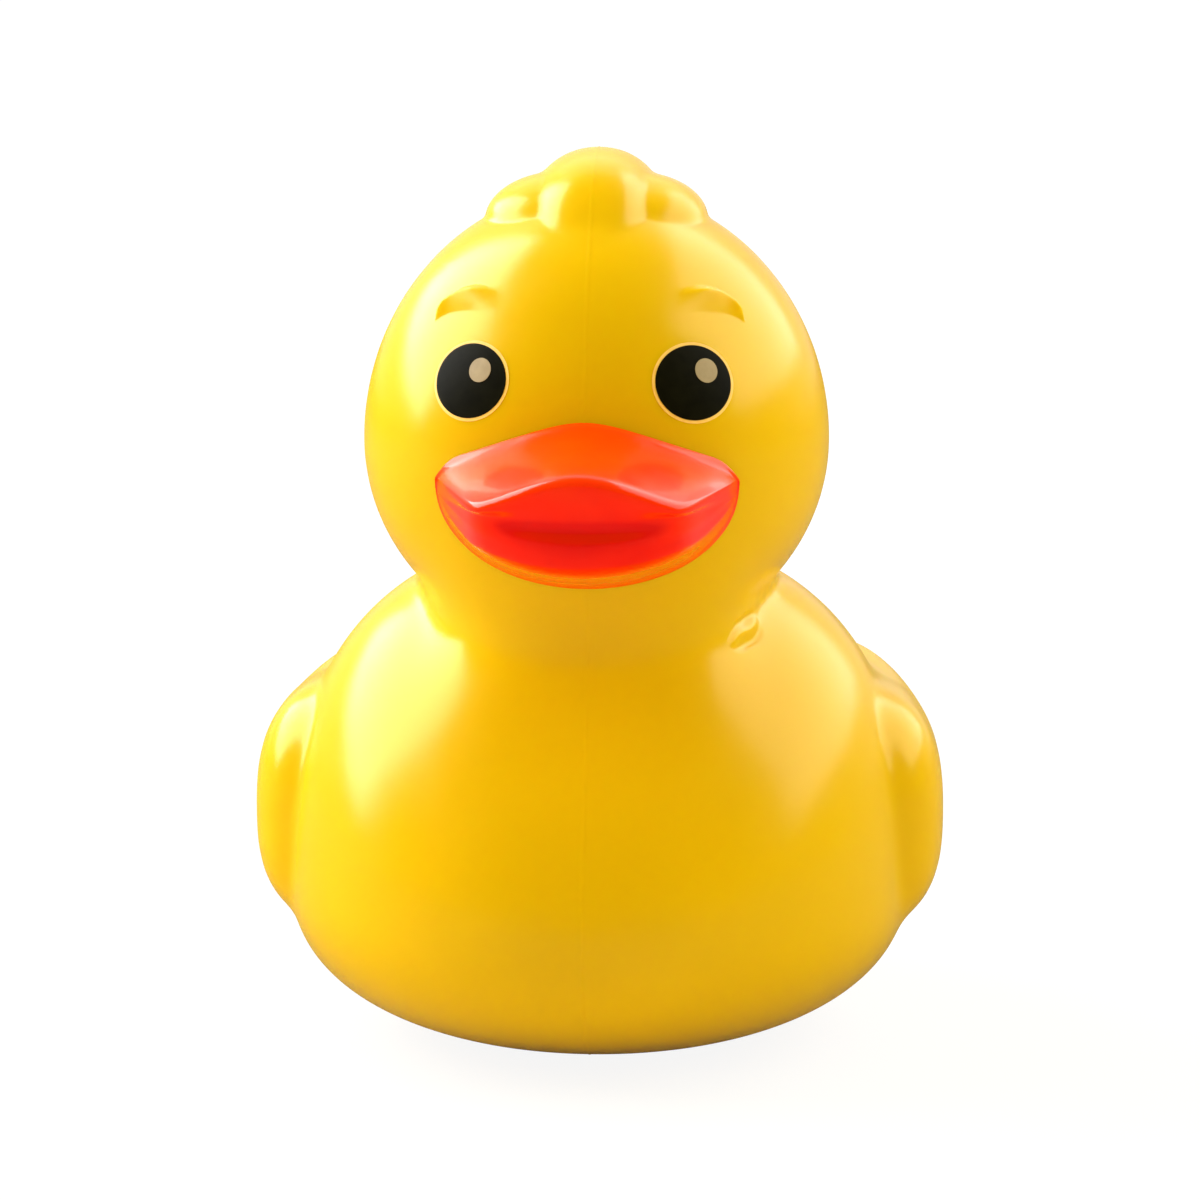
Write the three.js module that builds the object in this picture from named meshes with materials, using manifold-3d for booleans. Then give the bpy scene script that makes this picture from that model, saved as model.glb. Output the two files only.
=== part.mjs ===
// A toy duck of soft vinyl, moulded in one piece: a round body on a flat base, with an upturned
// tail and two wing pads, and a large egg-shaped head with a three-lobed tuft, brows and a broad bill.
// Millimetres, +Z up, the bill points along -Y, and the origin is the middle of the flat base.

import * as THREE from 'three';
import { mergeVertices } from 'three/addons/utils/BufferGeometryUtils.js';
import Module from 'manifold-3d';

// Body: a dome above its widest level and a hull below it, cut off flat at the base.
const BODY_WIDEST_LEVEL = 15.2;
const BODY_HALF_WIDTH = 30;
const BODY_FRONT = 31;
const BODY_BACK = 35;
const BODY_RISE = 32.3;
const BODY_DOME_FULLNESS = 2.5;
const BODY_CHEST_FULLNESS = 1.7;
const BODY_HULL_FULLNESS = 2.35;
const BASE_HALF_WIDTH = 10.3;

// Tail: the upper rump drawn out backwards and up.
const TAIL_ABOVE_WIDEST = 11.8;
const TAIL_DRAW_BACK = 11;
const TAIL_DRAW_UP = 19;
const TAIL_REACH = 25;

// Wings: pads that stand proud of the flanks, with the hind tip drawn out and up.
const WING_PROUD = 3.2;
const WING_HALF_THICKNESS = 9.6;
const WING_FRONT = 10;
const WING_BACK = 20;
const WING_LEVEL = 21.1;
const WING_RISE = 12.7;
const WING_DROP = 11.4;
const WING_FULLNESS = 2.6;
const WING_TIP_DRAW_IN = 4;
const WING_TIP_DRAW_BACK = 8;
const WING_TIP_DRAW_UP = 9;
const WING_TIP_REACH = 19;

// Head: an egg that sinks into the top of the body.
const HEAD_FORWARD = 6;
const HEAD_HALF_WIDTH = 21.9;
const HEAD_HALF_DEPTH = 21.5;
const HEAD_RISE = 23.6;
const HEAD_DROP = 20.3;
const HEAD_SINK = 9.8;

// Tuft: a middle lobe that flows into the forehead, and a smaller lobe on each side.
const TUFT_PROUD = 3.8;
const TUFT_HALF_WIDTH = 6.7;
const TUFT_RISE = 7;
const TUFT_FRONT = 9.5;
const TUFT_BACK = 13;
const TUFT_FORWARD = 1;
const TUFT_FULLNESS = 2.3;
const SIDE_LOBE_PROUD = 1.6;
const SIDE_LOBE_HALF_WIDTH = 5.1;
const SIDE_LOBE_RISE = 5.4;
const SIDE_LOBE_FRONT = 6.5;
const SIDE_LOBE_BACK = 11;
const SIDE_LOBE_OFFSET = 5.1;

// Brows: raised crescents above the eyes, each with its outer end lower.
const BROW_MIDDLE = 10.2;
const BROW_LEVEL = 14.6;
const BROW_HALF_LENGTH = 4;
const BROW_ARCH = 1.3;
const BROW_SLANT = 1.2;
const BROW_HALF_WIDTH = 1;
const BROW_PROUD = 0.7;

// Bill: levels are measured from the head's widest level, where the corners of the bill are.
const BILL_HALF_WIDTH = 13.8;
const BILL_REACH = 11;
const BILL_CREST = 4.3;
const BILL_CREST_TAPER = 1.6;
const BILL_LIP_LEVEL = 1.3;
const BILL_LIP_DROOP = 9.6;
const BILL_LIP_ROUND = 1.4;
const BILL_MOUTH_LEVEL = -4;
const BILL_MOUTH_GAP = 2;
const BILL_MOUTH_DEPTH = 0.6;
const BILL_LOWER_LIP_SET_BACK = 1.7;
const BILL_JAW_LEVEL = -8.8;
const BILL_JAW_SET_BACK = 4.2;
const BILL_CHIN = 11.3;
const BILL_PLAN_FULLNESS = 2.4;

// Steps around each egg, and along and around each loft.
const BODY_STEPS = 56;
const HEAD_STEPS = 48;
const WING_STEPS = 32;
const LOBE_STEPS = 22;
const BILL_STATIONS = 25;
const BROW_STATIONS = 11;
const BROW_SIDES = 10;

const SKIN_YELLOW = 0xf6cf0e;
const SKIN_ROUGHNESS = 0.3;

// A fullness of 2 is an ellipse, and a larger one swells the curve towards a rectangle.
const ELLIPSE = 2;
const RINGS_PER_STEP = 0.6;
const THINNEST_FACET = 0.001;


const manifold = await Module();
manifold.setup();

// How far a direction with parts a and b reaches on a unit curve of this fullness.
function unitReach(a, b, fullness) {
  return (Math.abs(a) ** fullness + Math.abs(b) ** fullness) ** (-1 / fullness);
}

// Falls smoothly from 1 at the grabbed point to 0 at the edge of what moves with it.
function smoothFalloff(distance, reach) {
  const nearness = Math.max(0, 1 - distance / reach);
  return nearness * nearness * (3 - 2 * nearness);
}

// Every vertex once, so that the faces close into one shell.
function closed(geometry) {
  geometry.deleteAttribute('normal');
  geometry.deleteAttribute('uv');
  return mergeVertices(geometry);
}

// Moves every vertex of a geometry to where the rule puts it.
function reshape(geometry, rule) {
  const position = geometry.attributes.position;
  const point = new THREE.Vector3();
  for (let i = 0; i < position.count; i += 1) {
    point.fromBufferAttribute(position, i);
    rule(point);
    position.setXYZ(i, point.x, point.y, point.z);
  }
  return geometry;
}

// An egg with its half sizes set one by one. Dome and hull are its fullness above and below the widest
// level, chest is that of the dome at the very front, and plan is that of the outline from above.
function egg(form) {
  const { centre, halfWidth, front, back, up, down, steps } = form;
  const { dome = ELLIPSE, hull = ELLIPSE, chest = dome, plan = ELLIPSE } = form;
  const rings = Math.round(steps * RINGS_PER_STEP);
  const ball = closed(new THREE.SphereGeometry(1, steps, rings).rotateX(Math.PI / 2));
  return reshape(ball, (point) => {
    const across = Math.hypot(point.x, point.y);
    const turn = Math.atan2(point.y, point.x);
    const forwards = Math.max(0, -Math.sin(turn)) ** 2;
    const fullness = point.z < 0 ? hull : THREE.MathUtils.lerp(dome, chest, forwards);
    const swell = unitReach(across, point.z, fullness);
    const round = unitReach(Math.cos(turn), Math.sin(turn), plan) * across * swell;
    const x = Math.cos(turn) * round * halfWidth;
    const y = Math.sin(turn) * round * (turn < 0 ? front : back);
    const z = point.z * swell * (point.z < 0 ? down : up);
    point.set(x, y, z).add(centre);
  });
}

// Draws out what lies within reach of a grabbed point, as soft clay is drawn out with two fingers.
function drawOut(geometry, grab, move, reach) {
  return reshape(geometry, (point) => {
    point.addScaledVector(move, smoothFalloff(point.distanceTo(grab), reach));
  });
}

// A closed skin over rings of points, with a fan over the first and the last ring.
function loft(rings) {
  const sides = rings[0].length;
  const points = rings.flat();
  const faces = [];
  for (let r = 0; r + 1 < rings.length; r += 1) {
    for (let s = 0; s < sides; s += 1) {
      const here = r * sides + s;
      const next = r * sides + ((s + 1) % sides);
      faces.push(here, next, here + sides, next, next + sides, here + sides);
    }
  }
  const lastRing = (rings.length - 1) * sides;
  for (let s = 0; s < sides; s += 1) {
    const next = (s + 1) % sides;
    faces.push(points.length, next, s);
    faces.push(points.length + 1, lastRing + s, lastRing + next);
  }
  const middle = (ring) => ring.reduce((sum, p) => sum.add(p), new THREE.Vector3()).divideScalar(sides);
  const all = [...points, middle(rings[0]), middle(rings[rings.length - 1])];
  const geometry = new THREE.BufferGeometry().setFromPoints(all);
  geometry.setIndex(faces);
  return geometry;
}

function solid(geometry) {
  const vertProperties = new Float32Array(geometry.attributes.position.array);
  const triVerts = new Uint32Array(geometry.index.array);
  return new manifold.Manifold(new manifold.Mesh({ numProp: 3, vertProperties, triVerts }));
}

// Joins leave slivers along the creases. The shortest side of each is closed up, until none is left.
function withoutSlivers(points, facets) {
  let faces = facets;
  for (;;) {
    let thin = null;
    for (const face of faces) {
      const sides = face.map((corner, c) => [corner, face[(c + 1) % face.length]]);
      const length = ([from, to]) => points[from].distanceTo(points[to]);
      sides.sort((one, other) => length(one) - length(other));
      const area = new THREE.Triangle(...face.map((corner) => points[corner])).getArea();
      if ((2 * area) / length(sides[2]) < THINNEST_FACET) {
        [thin] = sides;
        break;
      }
    }
    if (thin === null) {
      return faces;
    }
    const [kept, closedUp] = thin;
    faces = faces.map((face) => face.map((corner) => (corner === closedUp ? kept : corner)));
    faces = faces.filter((face) => new Set(face).size === face.length);
  }
}

function geometryOf(body) {
  const { vertProperties, triVerts } = body.getMesh();
  const points = [];
  for (let v = 0; v < vertProperties.length; v += 3) {
    points.push(new THREE.Vector3().fromArray(vertProperties, v));
  }
  const facets = [];
  for (let t = 0; t < triVerts.length; t += 3) {
    facets.push([...triVerts.slice(t, t + 3)]);
  }
  const geometry = new THREE.BufferGeometry().setFromPoints(points);
  geometry.setIndex(withoutSlivers(points, facets).flat());
  geometry.computeVertexNormals();
  return geometry;
}

// The hull would close a little below the base, which cuts it off where it is as wide as the base. The
// body is set so that the middle of the base is the origin.
const baseShare = BASE_HALF_WIDTH / BODY_HALF_WIDTH;
const hullDepth = BODY_WIDEST_LEVEL / (1 - baseShare ** BODY_HULL_FULLNESS) ** (1 / BODY_HULL_FULLNESS);
const bodyCentre = new THREE.Vector3(0, (baseShare * (BODY_FRONT - BODY_BACK)) / 2, BODY_WIDEST_LEVEL);
const bodyTop = BODY_WIDEST_LEVEL + BODY_RISE;
const headCentre = new THREE.Vector3(0, -HEAD_FORWARD, bodyTop + HEAD_DROP - HEAD_SINK);
const headTop = headCentre.z + HEAD_RISE;

// The point on the front of the head at a place across it and a height from its widest level.
function onFace(across, height) {
  const tall = height < 0 ? HEAD_DROP : HEAD_RISE;
  const depth = Math.sqrt(Math.max(0, 1 - (across / HEAD_HALF_WIDTH) ** 2 - (height / tall) ** 2));
  return new THREE.Vector3(across, headCentre.y - HEAD_HALF_DEPTH * depth, headCentre.z + height);
}

// The way out of the head at such a point.
function outOfFace(across, height) {
  const tall = height < 0 ? HEAD_DROP : HEAD_RISE;
  const forward = onFace(across, height).y - headCentre.y;
  const out = new THREE.Vector3(across, forward, height);
  return out.divide(new THREE.Vector3(HEAD_HALF_WIDTH ** 2, HEAD_HALF_DEPTH ** 2, tall ** 2)).normalize();
}

function bodyWithTail() {
  const body = egg({
    centre: bodyCentre,
    halfWidth: BODY_HALF_WIDTH,
    front: BODY_FRONT,
    back: BODY_BACK,
    up: BODY_RISE,
    down: hullDepth,
    dome: BODY_DOME_FULLNESS,
    hull: BODY_HULL_FULLNESS,
    chest: BODY_CHEST_FULLNESS,
    steps: BODY_STEPS,
  });
  const climb = TAIL_ABOVE_WIDEST / BODY_RISE;
  const rump = bodyCentre.y + BODY_BACK * (1 - climb ** BODY_DOME_FULLNESS) ** (1 / BODY_DOME_FULLNESS);
  const grab = new THREE.Vector3(0, rump, BODY_WIDEST_LEVEL + TAIL_ABOVE_WIDEST);
  return drawOut(body, grab, new THREE.Vector3(0, TAIL_DRAW_BACK, TAIL_DRAW_UP), TAIL_REACH);
}

function wing(side) {
  const offset = side * (BODY_HALF_WIDTH + WING_PROUD - WING_HALF_THICKNESS);
  const centre = new THREE.Vector3(offset, bodyCentre.y, WING_LEVEL);
  const pad = egg({
    centre,
    halfWidth: WING_HALF_THICKNESS,
    front: WING_FRONT,
    back: WING_BACK,
    up: WING_RISE,
    down: WING_DROP,
    dome: WING_FULLNESS,
    hull: WING_FULLNESS,
    plan: WING_FULLNESS,
    steps: WING_STEPS,
  });
  const tip = centre.clone().add(new THREE.Vector3(0, WING_BACK, 0));
  const move = new THREE.Vector3(-side * WING_TIP_DRAW_IN, WING_TIP_DRAW_BACK, WING_TIP_DRAW_UP);
  return drawOut(pad, tip, move, WING_TIP_REACH);
}

function head() {
  return egg({
    centre: headCentre,
    halfWidth: HEAD_HALF_WIDTH,
    front: HEAD_HALF_DEPTH,
    back: HEAD_HALF_DEPTH,
    up: HEAD_RISE,
    down: HEAD_DROP,
    steps: HEAD_STEPS,
  });
}

function middleLobe() {
  return egg({
    centre: new THREE.Vector3(0, headCentre.y - TUFT_FORWARD, headTop + TUFT_PROUD - TUFT_RISE),
    halfWidth: TUFT_HALF_WIDTH,
    front: TUFT_FRONT,
    back: TUFT_BACK,
    up: TUFT_RISE,
    down: TUFT_RISE,
    plan: TUFT_FULLNESS,
    steps: LOBE_STEPS,
  });
}

function sideLobe(side) {
  const top = headTop + SIDE_LOBE_PROUD;
  return egg({
    centre: new THREE.Vector3(side * SIDE_LOBE_OFFSET, headCentre.y, top - SIDE_LOBE_RISE),
    halfWidth: SIDE_LOBE_HALF_WIDTH,
    front: SIDE_LOBE_FRONT,
    back: SIDE_LOBE_BACK,
    up: SIDE_LOBE_RISE,
    down: SIDE_LOBE_RISE,
    plan: TUFT_FULLNESS,
    steps: LOBE_STEPS,
  });
}

// A crescent that lies along an arc on the forehead and thins out to both ends.
function brow(side) {
  const rings = [];
  for (let r = 0; r < BROW_STATIONS; r += 1) {
    const along = -1 + (2 * (r + 1)) / (BROW_STATIONS + 1);
    const across = BROW_MIDDLE + along * BROW_HALF_LENGTH;
    const height = BROW_LEVEL - BROW_ARCH * along ** 2 - BROW_SLANT * along;
    const seat = onFace(side * across, height);
    const out = outOfFace(side * across, height);
    const slope = -2 * BROW_ARCH * along - BROW_SLANT;
    const run = new THREE.Vector3(side * BROW_HALF_LENGTH, 0, slope).projectOnPlane(out).normalize();
    const over = new THREE.Vector3().crossVectors(out, run).multiplyScalar(side);
    const share = Math.sqrt(1 - along ** 2);
    const ring = [];
    for (let s = 0; s < BROW_SIDES; s += 1) {
      const turn = (2 * Math.PI * s) / BROW_SIDES;
      const point = seat.clone().addScaledVector(over, BROW_HALF_WIDTH * share * Math.cos(turn));
      ring.push(point.addScaledVector(out, BROW_PROUD * share * Math.sin(turn)));
    }
    rings.push(ring);
  }
  return loft(side < 0 ? rings.reverse() : rings);
}

// The bill's outline at one station: from inside the head over the crest, round the lip, into the mouth,
// down to the jaw and by the chin back into the head, as far inside as it reaches outside.
function billProfile(turn) {
  const across = BILL_HALF_WIDTH * Math.sin(turn);
  const share = Math.cos(turn);
  const plan = (1 - Math.abs(Math.sin(turn)) ** BILL_PLAN_FULLNESS) ** (1 / BILL_PLAN_FULLNESS);
  const crest = onFace(across, BILL_CREST * share ** BILL_CREST_TAPER);
  const chin = onFace(across, -BILL_CHIN * share);
  const corner = onFace(BILL_HALF_WIDTH, 0).y;
  const front = THREE.MathUtils.lerp(corner, headCentre.y - HEAD_HALF_DEPTH - BILL_REACH, plan);
  const lipLevel = headCentre.z + (BILL_LIP_LEVEL + BILL_LIP_DROOP) * share ** 2 - BILL_LIP_DROOP * share;
  const mouthLevel = headCentre.z + BILL_MOUTH_LEVEL * share;
  const jawLevel = headCentre.z + BILL_JAW_LEVEL * share;
  const round = (BILL_LIP_ROUND * plan) / 2;
  const gap = (BILL_MOUTH_GAP * plan) / 2;
  const lowerLip = front + BILL_LOWER_LIP_SET_BACK * plan;
  const mouth = lowerLip + BILL_MOUTH_DEPTH * plan ** 2;
  const jaw = front + BILL_JAW_SET_BACK * plan;
  const outline = [
    [2 * crest.y - front, 2 * crest.z - lipLevel],
    [front + round, lipLevel],
    [front, lipLevel - round],
    [(front + lowerLip) / 2, mouthLevel + gap],
    [mouth, mouthLevel],
    [lowerLip, mouthLevel - gap],
    [jaw, jawLevel],
    [2 * chin.y - jaw, 2 * chin.z - jawLevel],
  ];
  return outline.map(([y, z]) => new THREE.Vector3(across, y, z));
}

function bill() {
  const rings = [];
  for (let r = 0; r < BILL_STATIONS; r += 1) {
    const turn = (Math.PI / 2) * (-1 + (2 * (r + 1)) / (BILL_STATIONS + 1));
    rings.push(billProfile(turn));
  }
  return loft(rings);
}

// A block under the level of the base, wider than the hull that it cuts off.
function belowTheBase() {
  const wide = 2 * (BODY_HALF_WIDTH + BODY_FRONT + BODY_BACK);
  const deep = Math.ceil(hullDepth);
  return closed(new THREE.BoxGeometry(wide, wide, deep).translate(0, 0, -deep / 2));
}

const moulding = [
  head(),
  bill(),
  middleLobe(),
  ...[-1, 1].flatMap((side) => [wing(side), sideLobe(side), brow(side)]),
].reduce((whole, form) => whole.add(solid(form)), solid(bodyWithTail()));

const skin = new THREE.MeshStandardMaterial({ color: SKIN_YELLOW, roughness: SKIN_ROUGHNESS, metalness: 0 });
const duck = new THREE.Mesh(geometryOf(moulding.subtract(solid(belowTheBase()))), skin);
duck.name = 'duck';

const toy = new THREE.Group();
toy.add(duck);

export default toy;
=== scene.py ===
# %% [markdown]
# A squeeze duck, from the frame to the finish
#
# The real duck is one moulding of soft, glossy yellow vinyl. Its bill is sprayed orange and its eyes are
# printed on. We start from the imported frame, which fixes where everything is, and model one skin over it by
# hand: eggs of clay that are pulled, joined and smoothed. The duck's sizes are in millimetres until MM
# turns them into metres. Those of the floor and the lamps are in metres.

# %% Load the frame
import math

import bpy
import numpy as np
from mathutils import Matrix, Vector, noise


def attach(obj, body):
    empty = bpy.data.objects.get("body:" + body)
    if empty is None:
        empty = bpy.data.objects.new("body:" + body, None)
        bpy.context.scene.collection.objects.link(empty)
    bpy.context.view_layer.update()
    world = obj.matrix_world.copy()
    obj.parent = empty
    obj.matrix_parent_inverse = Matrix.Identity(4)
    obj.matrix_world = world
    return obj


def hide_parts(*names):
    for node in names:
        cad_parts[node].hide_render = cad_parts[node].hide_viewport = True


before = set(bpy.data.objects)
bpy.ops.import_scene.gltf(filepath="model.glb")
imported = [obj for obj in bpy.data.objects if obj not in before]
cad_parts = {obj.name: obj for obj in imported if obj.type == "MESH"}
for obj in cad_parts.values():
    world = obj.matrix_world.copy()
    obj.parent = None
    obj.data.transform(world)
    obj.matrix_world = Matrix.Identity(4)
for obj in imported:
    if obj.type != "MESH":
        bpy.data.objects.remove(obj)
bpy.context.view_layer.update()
MM = 0.001

# %% [markdown]
# Working by hand, from a script
#
# In a window you click a piece before you work on it. A script has to do the same, because every operator
# acts on what is selected, and the frame leaves its own nodes selected. These few helpers are our clicks:
# one takes a piece alone, one picks vertices by their place, one leaves edit mode, and one puts a modifier
# on a piece and applies it at once. The last one counts triangles.


# %% Clicks
def take(piece):
    bpy.ops.object.select_all(action="DESELECT")
    piece.select_set(True)
    bpy.context.view_layer.objects.active = piece


def pick(piece, wanted):
    """Goes into edit mode with those vertices selected whose place is wanted."""
    take(piece)
    bpy.ops.object.mode_set(mode="EDIT")
    bpy.ops.mesh.select_mode(type="VERT")
    bpy.ops.mesh.select_all(action="DESELECT")
    bpy.ops.object.mode_set(mode="OBJECT")
    for vertex in piece.data.vertices:
        vertex.select = wanted(vertex.co)
    bpy.ops.object.mode_set(mode="EDIT")


def done_editing():
    bpy.ops.object.mode_set(mode="OBJECT")


def finish_with(piece, kind, **settings):
    take(piece)
    modifier = piece.modifiers.new(kind, kind)
    for setting, value in settings.items():
        setattr(modifier, setting, value)
    bpy.ops.object.modifier_apply(modifier=modifier.name)


def triangles(piece):
    return sum(len(face.vertices) - 2 for face in piece.data.polygons)


# %% [markdown]
# The camera
#
# We look at the duck from a little above and a little to one side, as the photograph does. A long lens from
# far off would flatten the duck, so the distance comes first and the lens is worked out from it: the frame
# has to take in a field as wide as the picture shows at the duck's middle.

# %% Camera
CAMERA_AZIMUTH = math.radians(3)
CAMERA_ELEVATION = math.radians(10)
CAMERA_DISTANCE = 420 * MM
AIM = Vector((0, 0, 41.4)) * MM
FIELD_WIDTH = 115.5 * MM
CLOSEST_VIEW = 10 * MM

level = math.cos(CAMERA_ELEVATION)
outwards = Vector((
    math.sin(CAMERA_AZIMUTH) * level,
    -math.cos(CAMERA_AZIMUTH) * level,
    math.sin(CAMERA_ELEVATION),
))
bpy.ops.object.select_all(action="DESELECT")
bpy.ops.object.camera_add(location=AIM + outwards * CAMERA_DISTANCE)
camera = bpy.context.object
camera.name = "camera"
camera.rotation_euler = outwards.to_track_quat("Z", "Y").to_euler()
camera.data.lens = camera.data.sensor_width * CAMERA_DISTANCE / FIELD_WIDTH
camera.data.clip_start = CLOSEST_VIEW
bpy.context.scene.camera = camera
print("lens in mm:", round(camera.data.lens, 1))

# %% [markdown]
# Eggs of clay
#
# A duck of this kind is a few eggs pushed into each other. A ball is added with an operator and then
# pressed into its egg: each half gets a size of its own, and a fullness. A fullness of 2 gives an ellipse,
# and more than 2 gives a squarer shoulder. Scaling halves by hand could give the sizes but not the
# fullness, so the pressing is a rule that moves each vertex.

# %% Press an egg
ELLIPSE = 2
RINGS_PER_SEGMENT = 0.6

eggs = {}


def reach(a, b, fullness):
    """How far a direction with parts a and b gets on a unit curve of this fullness."""
    return (abs(a) ** fullness + abs(b) ** fullness) ** (-1 / fullness)


def press_egg(name, centre, half_width, front, back, up, down, segments,
              dome=ELLIPSE, hull=ELLIPSE, chest=None, plan=ELLIPSE):
    bpy.ops.object.select_all(action="DESELECT")
    rings = round(segments * RINGS_PER_SEGMENT)
    bpy.ops.mesh.primitive_uv_sphere_add(segments=segments, ring_count=rings, radius=1)
    ball = bpy.context.object
    ball.name = name
    chest = dome if chest is None else chest
    eggs[name] = {
        "centre": centre, "half_width": half_width, "front": front, "back": back, "up": up, "down": down,
        "dome": dome, "hull": hull, "chest": chest, "plan": plan,
    }
    for vertex in ball.data.vertices:
        x, y, z = vertex.co
        across = math.hypot(x, y)
        turn = math.atan2(y, x)
        forwards = max(0, -math.sin(turn)) ** 2
        fullness = hull if z < 0 else dome + (chest - dome) * forwards
        swell = reach(across, z, fullness)
        around = reach(math.cos(turn), math.sin(turn), plan) * across * swell
        depth = front if turn < 0 else back
        height = down if z < 0 else up
        sideways, lengthways = math.cos(turn) * around, math.sin(turn) * around
        vertex.co = (centre + Vector((sideways * half_width, lengthways * depth, z * swell * height))) * MM
    return ball


pulls = []


def draw_out(piece, grab, move, reach_of_hand):
    """Takes the vertex nearest to a point and pulls it, with its neighbourhood following softly."""
    nearest = min(piece.data.vertices, key=lambda vertex: (vertex.co - grab * MM).length).index
    place = piece.data.vertices[nearest].co.copy()
    pulls.append((grab + move / 2, reach_of_hand + move.length / 2))
    pick(piece, lambda co: co == place)
    bpy.ops.transform.translate(
        value=move * MM,
        use_proportional_edit=True,
        proportional_edit_falloff="SMOOTH",
        proportional_size=reach_of_hand * MM,
    )
    done_editing()


print("reach half way round an ellipse:", round(reach(1, 1, ELLIPSE), 3))

# %% [markdown]
# The body
#
# The body is widest low down, full over the back and flatter at the chest. Its rump is pulled out and up
# into the tail, as one would pull a lump of clay with two fingers: that is proportional editing.
# Underneath, a bisect with fill cuts it off flat, and the duck stands on that face.

# %% Body and tail
WIDEST_LEVEL = 15.2
BODY_HALF_WIDTH = 30
BODY_FRONT = 31
BODY_BACK = 35
BODY_RISE = 32.3
BODY_DOME = 2.5
BODY_CHEST = 1.7
BODY_HULL = 2.35
BODY_SEGMENTS = 240
BASE_HALF_WIDTH = 10.3
TAIL_ABOVE_WIDEST = 11.8
TAIL_PULL = Vector((0, 11, 19))
TAIL_HAND = 25

base_share = BASE_HALF_WIDTH / BODY_HALF_WIDTH
hull_depth = WIDEST_LEVEL / (1 - base_share ** BODY_HULL) ** (1 / BODY_HULL)
body_centre = Vector((0, base_share * (BODY_FRONT - BODY_BACK) / 2, WIDEST_LEVEL))
body = press_egg(
    "body", body_centre, BODY_HALF_WIDTH, BODY_FRONT, BODY_BACK, BODY_RISE, hull_depth, BODY_SEGMENTS,
    dome=BODY_DOME, hull=BODY_HULL, chest=BODY_CHEST,
)
climb = TAIL_ABOVE_WIDEST / BODY_RISE
rump = Vector((0, body_centre.y + BODY_BACK * (1 - climb ** BODY_DOME) ** (1 / BODY_DOME), 0))
rump.z = WIDEST_LEVEL + TAIL_ABOVE_WIDEST
draw_out(body, rump, TAIL_PULL, TAIL_HAND)

pick(body, lambda co: True)
bpy.ops.mesh.bisect(plane_co=(0, 0, 0), plane_no=(0, 0, 1), clear_inner=True, use_fill=True)
done_editing()
print("body reaches back to mm:", round(max(v.co.y for v in body.data.vertices) / MM, 1))

# %% [markdown]
# The wings
#
# Each wing is only a pad that swells out of the flank, with its hind tip drawn back and up. One is made on
# each side from the same sizes, with the sideways part of the pull mirrored.

# %% Wings
WING_PROUD = 3.2
WING_HALF_THICKNESS = 9.6
WING_FRONT = 10
WING_BACK = 20
WING_LEVEL = 21.1
WING_RISE = 12.7
WING_DROP = 11.4
WING_FULLNESS = 2.6
WING_TIP_PULL = Vector((4, 8, 9))
WING_TIP_HAND = 19
WING_SEGMENTS = 120


def press_wing(side):
    out = side * (BODY_HALF_WIDTH + WING_PROUD - WING_HALF_THICKNESS)
    centre = Vector((out, body_centre.y, WING_LEVEL))
    wing = press_egg(
        f"wing {side}", centre, WING_HALF_THICKNESS, WING_FRONT, WING_BACK, WING_RISE, WING_DROP,
        WING_SEGMENTS, dome=WING_FULLNESS, hull=WING_FULLNESS, plan=WING_FULLNESS,
    )
    pull = Vector((-side * WING_TIP_PULL.x, WING_TIP_PULL.y, WING_TIP_PULL.z))
    draw_out(wing, centre + Vector((0, WING_BACK, 0)), pull, WING_TIP_HAND)
    return wing


wings = [press_wing(side) for side in (-1, 1)]
print("wings:", len(wings))

# %% [markdown]
# The head and its tuft
#
# The head is a plain egg that sinks into the top of the body. Three small eggs on its crown make the tuft:
# a middle lobe, which runs forward into the forehead, and a lower lobe on each side.

# %% Head and tuft
HEAD_FORWARD = 6
HEAD_HALF_WIDTH = 21.9
HEAD_HALF_DEPTH = 21.5
HEAD_RISE = 23.6
HEAD_DROP = 20.3
HEAD_SINK = 9.8
HEAD_SEGMENTS = 200
TUFT_PROUD = 4.2
TUFT_HALF_WIDTH = 6.7
TUFT_RISE = 8.2
TUFT_FRONT = 14
TUFT_BACK = 13
TUFT_SET_BACK = 1
TUFT_DOME = 2.2
SIDE_LOBE_PROUD = 1.4
SIDE_LOBE_HALF_WIDTH = 7.2
SIDE_LOBE_RISE = 4.4
SIDE_LOBE_FRONT = 8
SIDE_LOBE_SLOPE = 1.6
SIDE_LOBE_BACK = 11
SIDE_LOBE_OFFSET = 3.2
SIDE_LOBE_PLAN = 2.2
LOBE_SEGMENTS = 120

head_centre = Vector((0, -HEAD_FORWARD, WIDEST_LEVEL + BODY_RISE + HEAD_DROP - HEAD_SINK))
head_top = head_centre.z + HEAD_RISE
head = press_egg(
    "head", head_centre, HEAD_HALF_WIDTH, HEAD_HALF_DEPTH, HEAD_HALF_DEPTH, HEAD_RISE, HEAD_DROP,
    HEAD_SEGMENTS,
)
middle_lobe = press_egg(
    "middle lobe", Vector((0, head_centre.y + TUFT_SET_BACK, head_top + TUFT_PROUD - TUFT_RISE)),
    TUFT_HALF_WIDTH, TUFT_FRONT, TUFT_BACK, TUFT_RISE, TUFT_RISE, LOBE_SEGMENTS, dome=TUFT_DOME,
)


def press_side_lobe(side):
    top = head_top + SIDE_LOBE_PROUD
    centre = Vector((side * SIDE_LOBE_OFFSET, head_centre.y, top - SIDE_LOBE_RISE))
    return press_egg(
        f"side lobe {side}", centre, SIDE_LOBE_HALF_WIDTH, SIDE_LOBE_FRONT, SIDE_LOBE_BACK, SIDE_LOBE_RISE,
        SIDE_LOBE_RISE, LOBE_SEGMENTS, chest=SIDE_LOBE_SLOPE, plan=SIDE_LOBE_PLAN,
    )


side_lobes = [press_side_lobe(side) for side in (-1, 1)]
print("top of the tuft in mm:", round(head_top + TUFT_PROUD, 1))

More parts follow.
